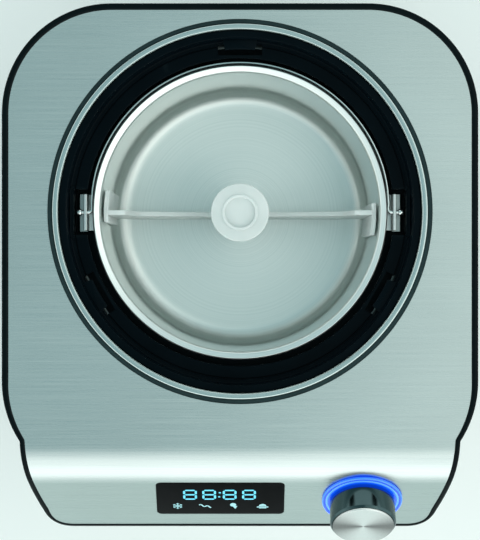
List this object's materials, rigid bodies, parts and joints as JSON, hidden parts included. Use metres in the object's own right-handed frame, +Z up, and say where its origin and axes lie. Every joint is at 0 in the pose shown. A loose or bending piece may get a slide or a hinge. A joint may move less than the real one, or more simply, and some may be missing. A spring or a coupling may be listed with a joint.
{
  "type": "ice cream maker",
  "caption": "Upright countertop ice cream maker with steel deck, lift-out bowl with bail, turning paddle, sloped display panel and lit push-and-turn knob",
  "frame": {"origin": "middle of the machine's footprint box, on the surface it stands on", "axes": "+Z up, -Y towards the sloping display panel, +X to the right seen from the front"},
  "size_m": [0.286, 0.3342, 0.3586],
  "materials": {
    "deck_steel": "satin",
    "panel_steel": "satin",
    "frame_black": "gloss",
    "housing_black": "satin",
    "collar_black": "satin",
    "well_metal": "satin",
    "bowl_metal": "satin",
    "wire_steel": "polished",
    "small_steel": "satin",
    "paddle_frosted": "satin",
    "knob_dark": "gloss",
    "knob_face": "satin",
    "ring_blue": "gloss",
    "window_black": "gloss",
    "rubber_black": "matte",
    "copper": "satin",
    "foam_cream": "matte",
    "black_steel": "satin",
    "grey_plastic": "satin",
    "nylon_white": "satin",
    "board_green": "satin"
  },
  "bodies": {
    "machine": {"base_tray": "housing_black", "capillary_tube": "copper", "compressor": "black_steel", "compressor_base": "black_steel", "compressor_grommet_1": "rubber_black", "compressor_grommet_2": "rubber_black", "compressor_grommet_3": "rubber_black", "compressor_grommet_4": "rubber_black", "condenser": "black_steel", "console_frame": "frame_black", "cooling_well": "well_metal", "cord_gland": "rubber_black", "cover_screw_1": "small_steel", "cover_screw_2": "small_steel", "cover_screw_3": "small_steel", "cover_screw_4": "small_steel", "deck_cover": "deck_steel", "discharge_pipe": "copper", "display_board": "board_green", "display_window": "window_black", "drive_motor": "black_steel", "encoder_body": "grey_plastic", "evaporator_coil": "copper", "fan_motor": "black_steel", "fan_shroud": "grey_plastic", "filter_dryer": "copper", "foot_front_left": "rubber_black", "foot_front_right": "rubber_black", "foot_rear_left": "rubber_black", "foot_rear_right": "rubber_black", "front_panel": "panel_steel", "gearbox_cover": "grey_plastic", "gearbox_housing": "grey_plastic", "heater_mat": "nylon_white", "knob_light_ring": "ring_blue", "liquid_pipe": "copper", "outer_shell": "housing_black", "power_board": "board_green", "rear_vent_cover": "housing_black", "shaft_bearing": "copper", "shaft_seal": "rubber_black", "shelf_plate": "small_steel", "suction_pipe": "copper", "well_collar": "collar_black", "well_insulation": "foam_cream"},
    "bowl": {"bowl": "bowl_metal", "bowl_lug_left": "small_steel", "bowl_lug_right": "small_steel"},
    "bail": {"bail_handle": "wire_steel"},
    "paddle_carrier": {"paddle_bush": "nylon_white"},
    "paddle": {"paddle": "paddle_frosted"},
    "drive_train": {"drive_shaft": "small_steel", "output_gear": "nylon_white"},
    "idler": {"idler_gear": "nylon_white"},
    "motor_rotor": {"motor_pinion": "small_steel"},
    "fan": {"fan_blade": "nylon_white"},
    "knob_plunger": {"encoder_plunger": "nylon_white"},
    "knob": {"knob_shaft": "small_steel", "knob_body": "knob_dark", "knob_cap": "knob_face"}
  },
  "joints": [
    {"name": "bowl_lift", "type": "slide", "parent": "machine", "child": "bowl", "axis": [0, 0, 1], "range_m": [0, 0.18]},
    {"name": "bail_swing", "type": "hinge", "parent": "bowl", "child": "bail", "pos_m": [0, 0.03509, 0.3365], "axis": [1, 0, 0], "range_deg": [0, 180]},
    {"name": "paddle_lift", "type": "slide", "parent": "bowl", "child": "paddle_carrier", "axis": [0, 0, 1], "range_m": [0, 0.125]},
    {"name": "paddle_spin", "type": "hinge", "parent": "paddle_carrier", "child": "paddle", "pos_m": [0, 0.03509, 0.3], "axis": [0, 0, 1], "continuous": true},
    {"name": "drive_turn", "type": "hinge", "parent": "machine", "child": "drive_train", "pos_m": [0, 0.03509, 0.19], "axis": [0, 0, 1], "continuous": true},
    {"name": "idler_turn", "type": "hinge", "parent": "machine", "child": "idler", "pos_m": [0.0486, 0.03509, 0.188], "axis": [0, 0, 1], "continuous": true},
    {"name": "motor_turn", "type": "hinge", "parent": "machine", "child": "motor_rotor", "pos_m": [0.0774, 0.03509, 0.188], "axis": [0, 0, 1], "continuous": true},
    {"name": "fan_spin", "type": "hinge", "parent": "machine", "child": "fan", "pos_m": [0.04, 0.12079, 0.0746], "axis": [0, 1, 0], "continuous": true},
    {"name": "knob_push", "type": "slide", "parent": "machine", "child": "knob_plunger", "axis": [0, 0.766, -0.6428], "range_m": [0, 0.0015], "stiffness_N_per_m": 1500, "springref_m": -0.001},
    {"name": "knob_turn", "type": "hinge", "parent": "knob_plunger", "child": "knob", "pos_m": [0.0747, -0.14013, 0.32995], "axis": [0, -0.766, 0.6428], "continuous": true}
  ],
  "couplings": [
    {"joint": "paddle_spin", "follows": "drive_turn", "ratio": 1},
    {"joint": "idler_turn", "follows": "drive_turn", "ratio": -1.25},
    {"joint": "motor_turn", "follows": "drive_turn", "ratio": 3.75}
  ]
}
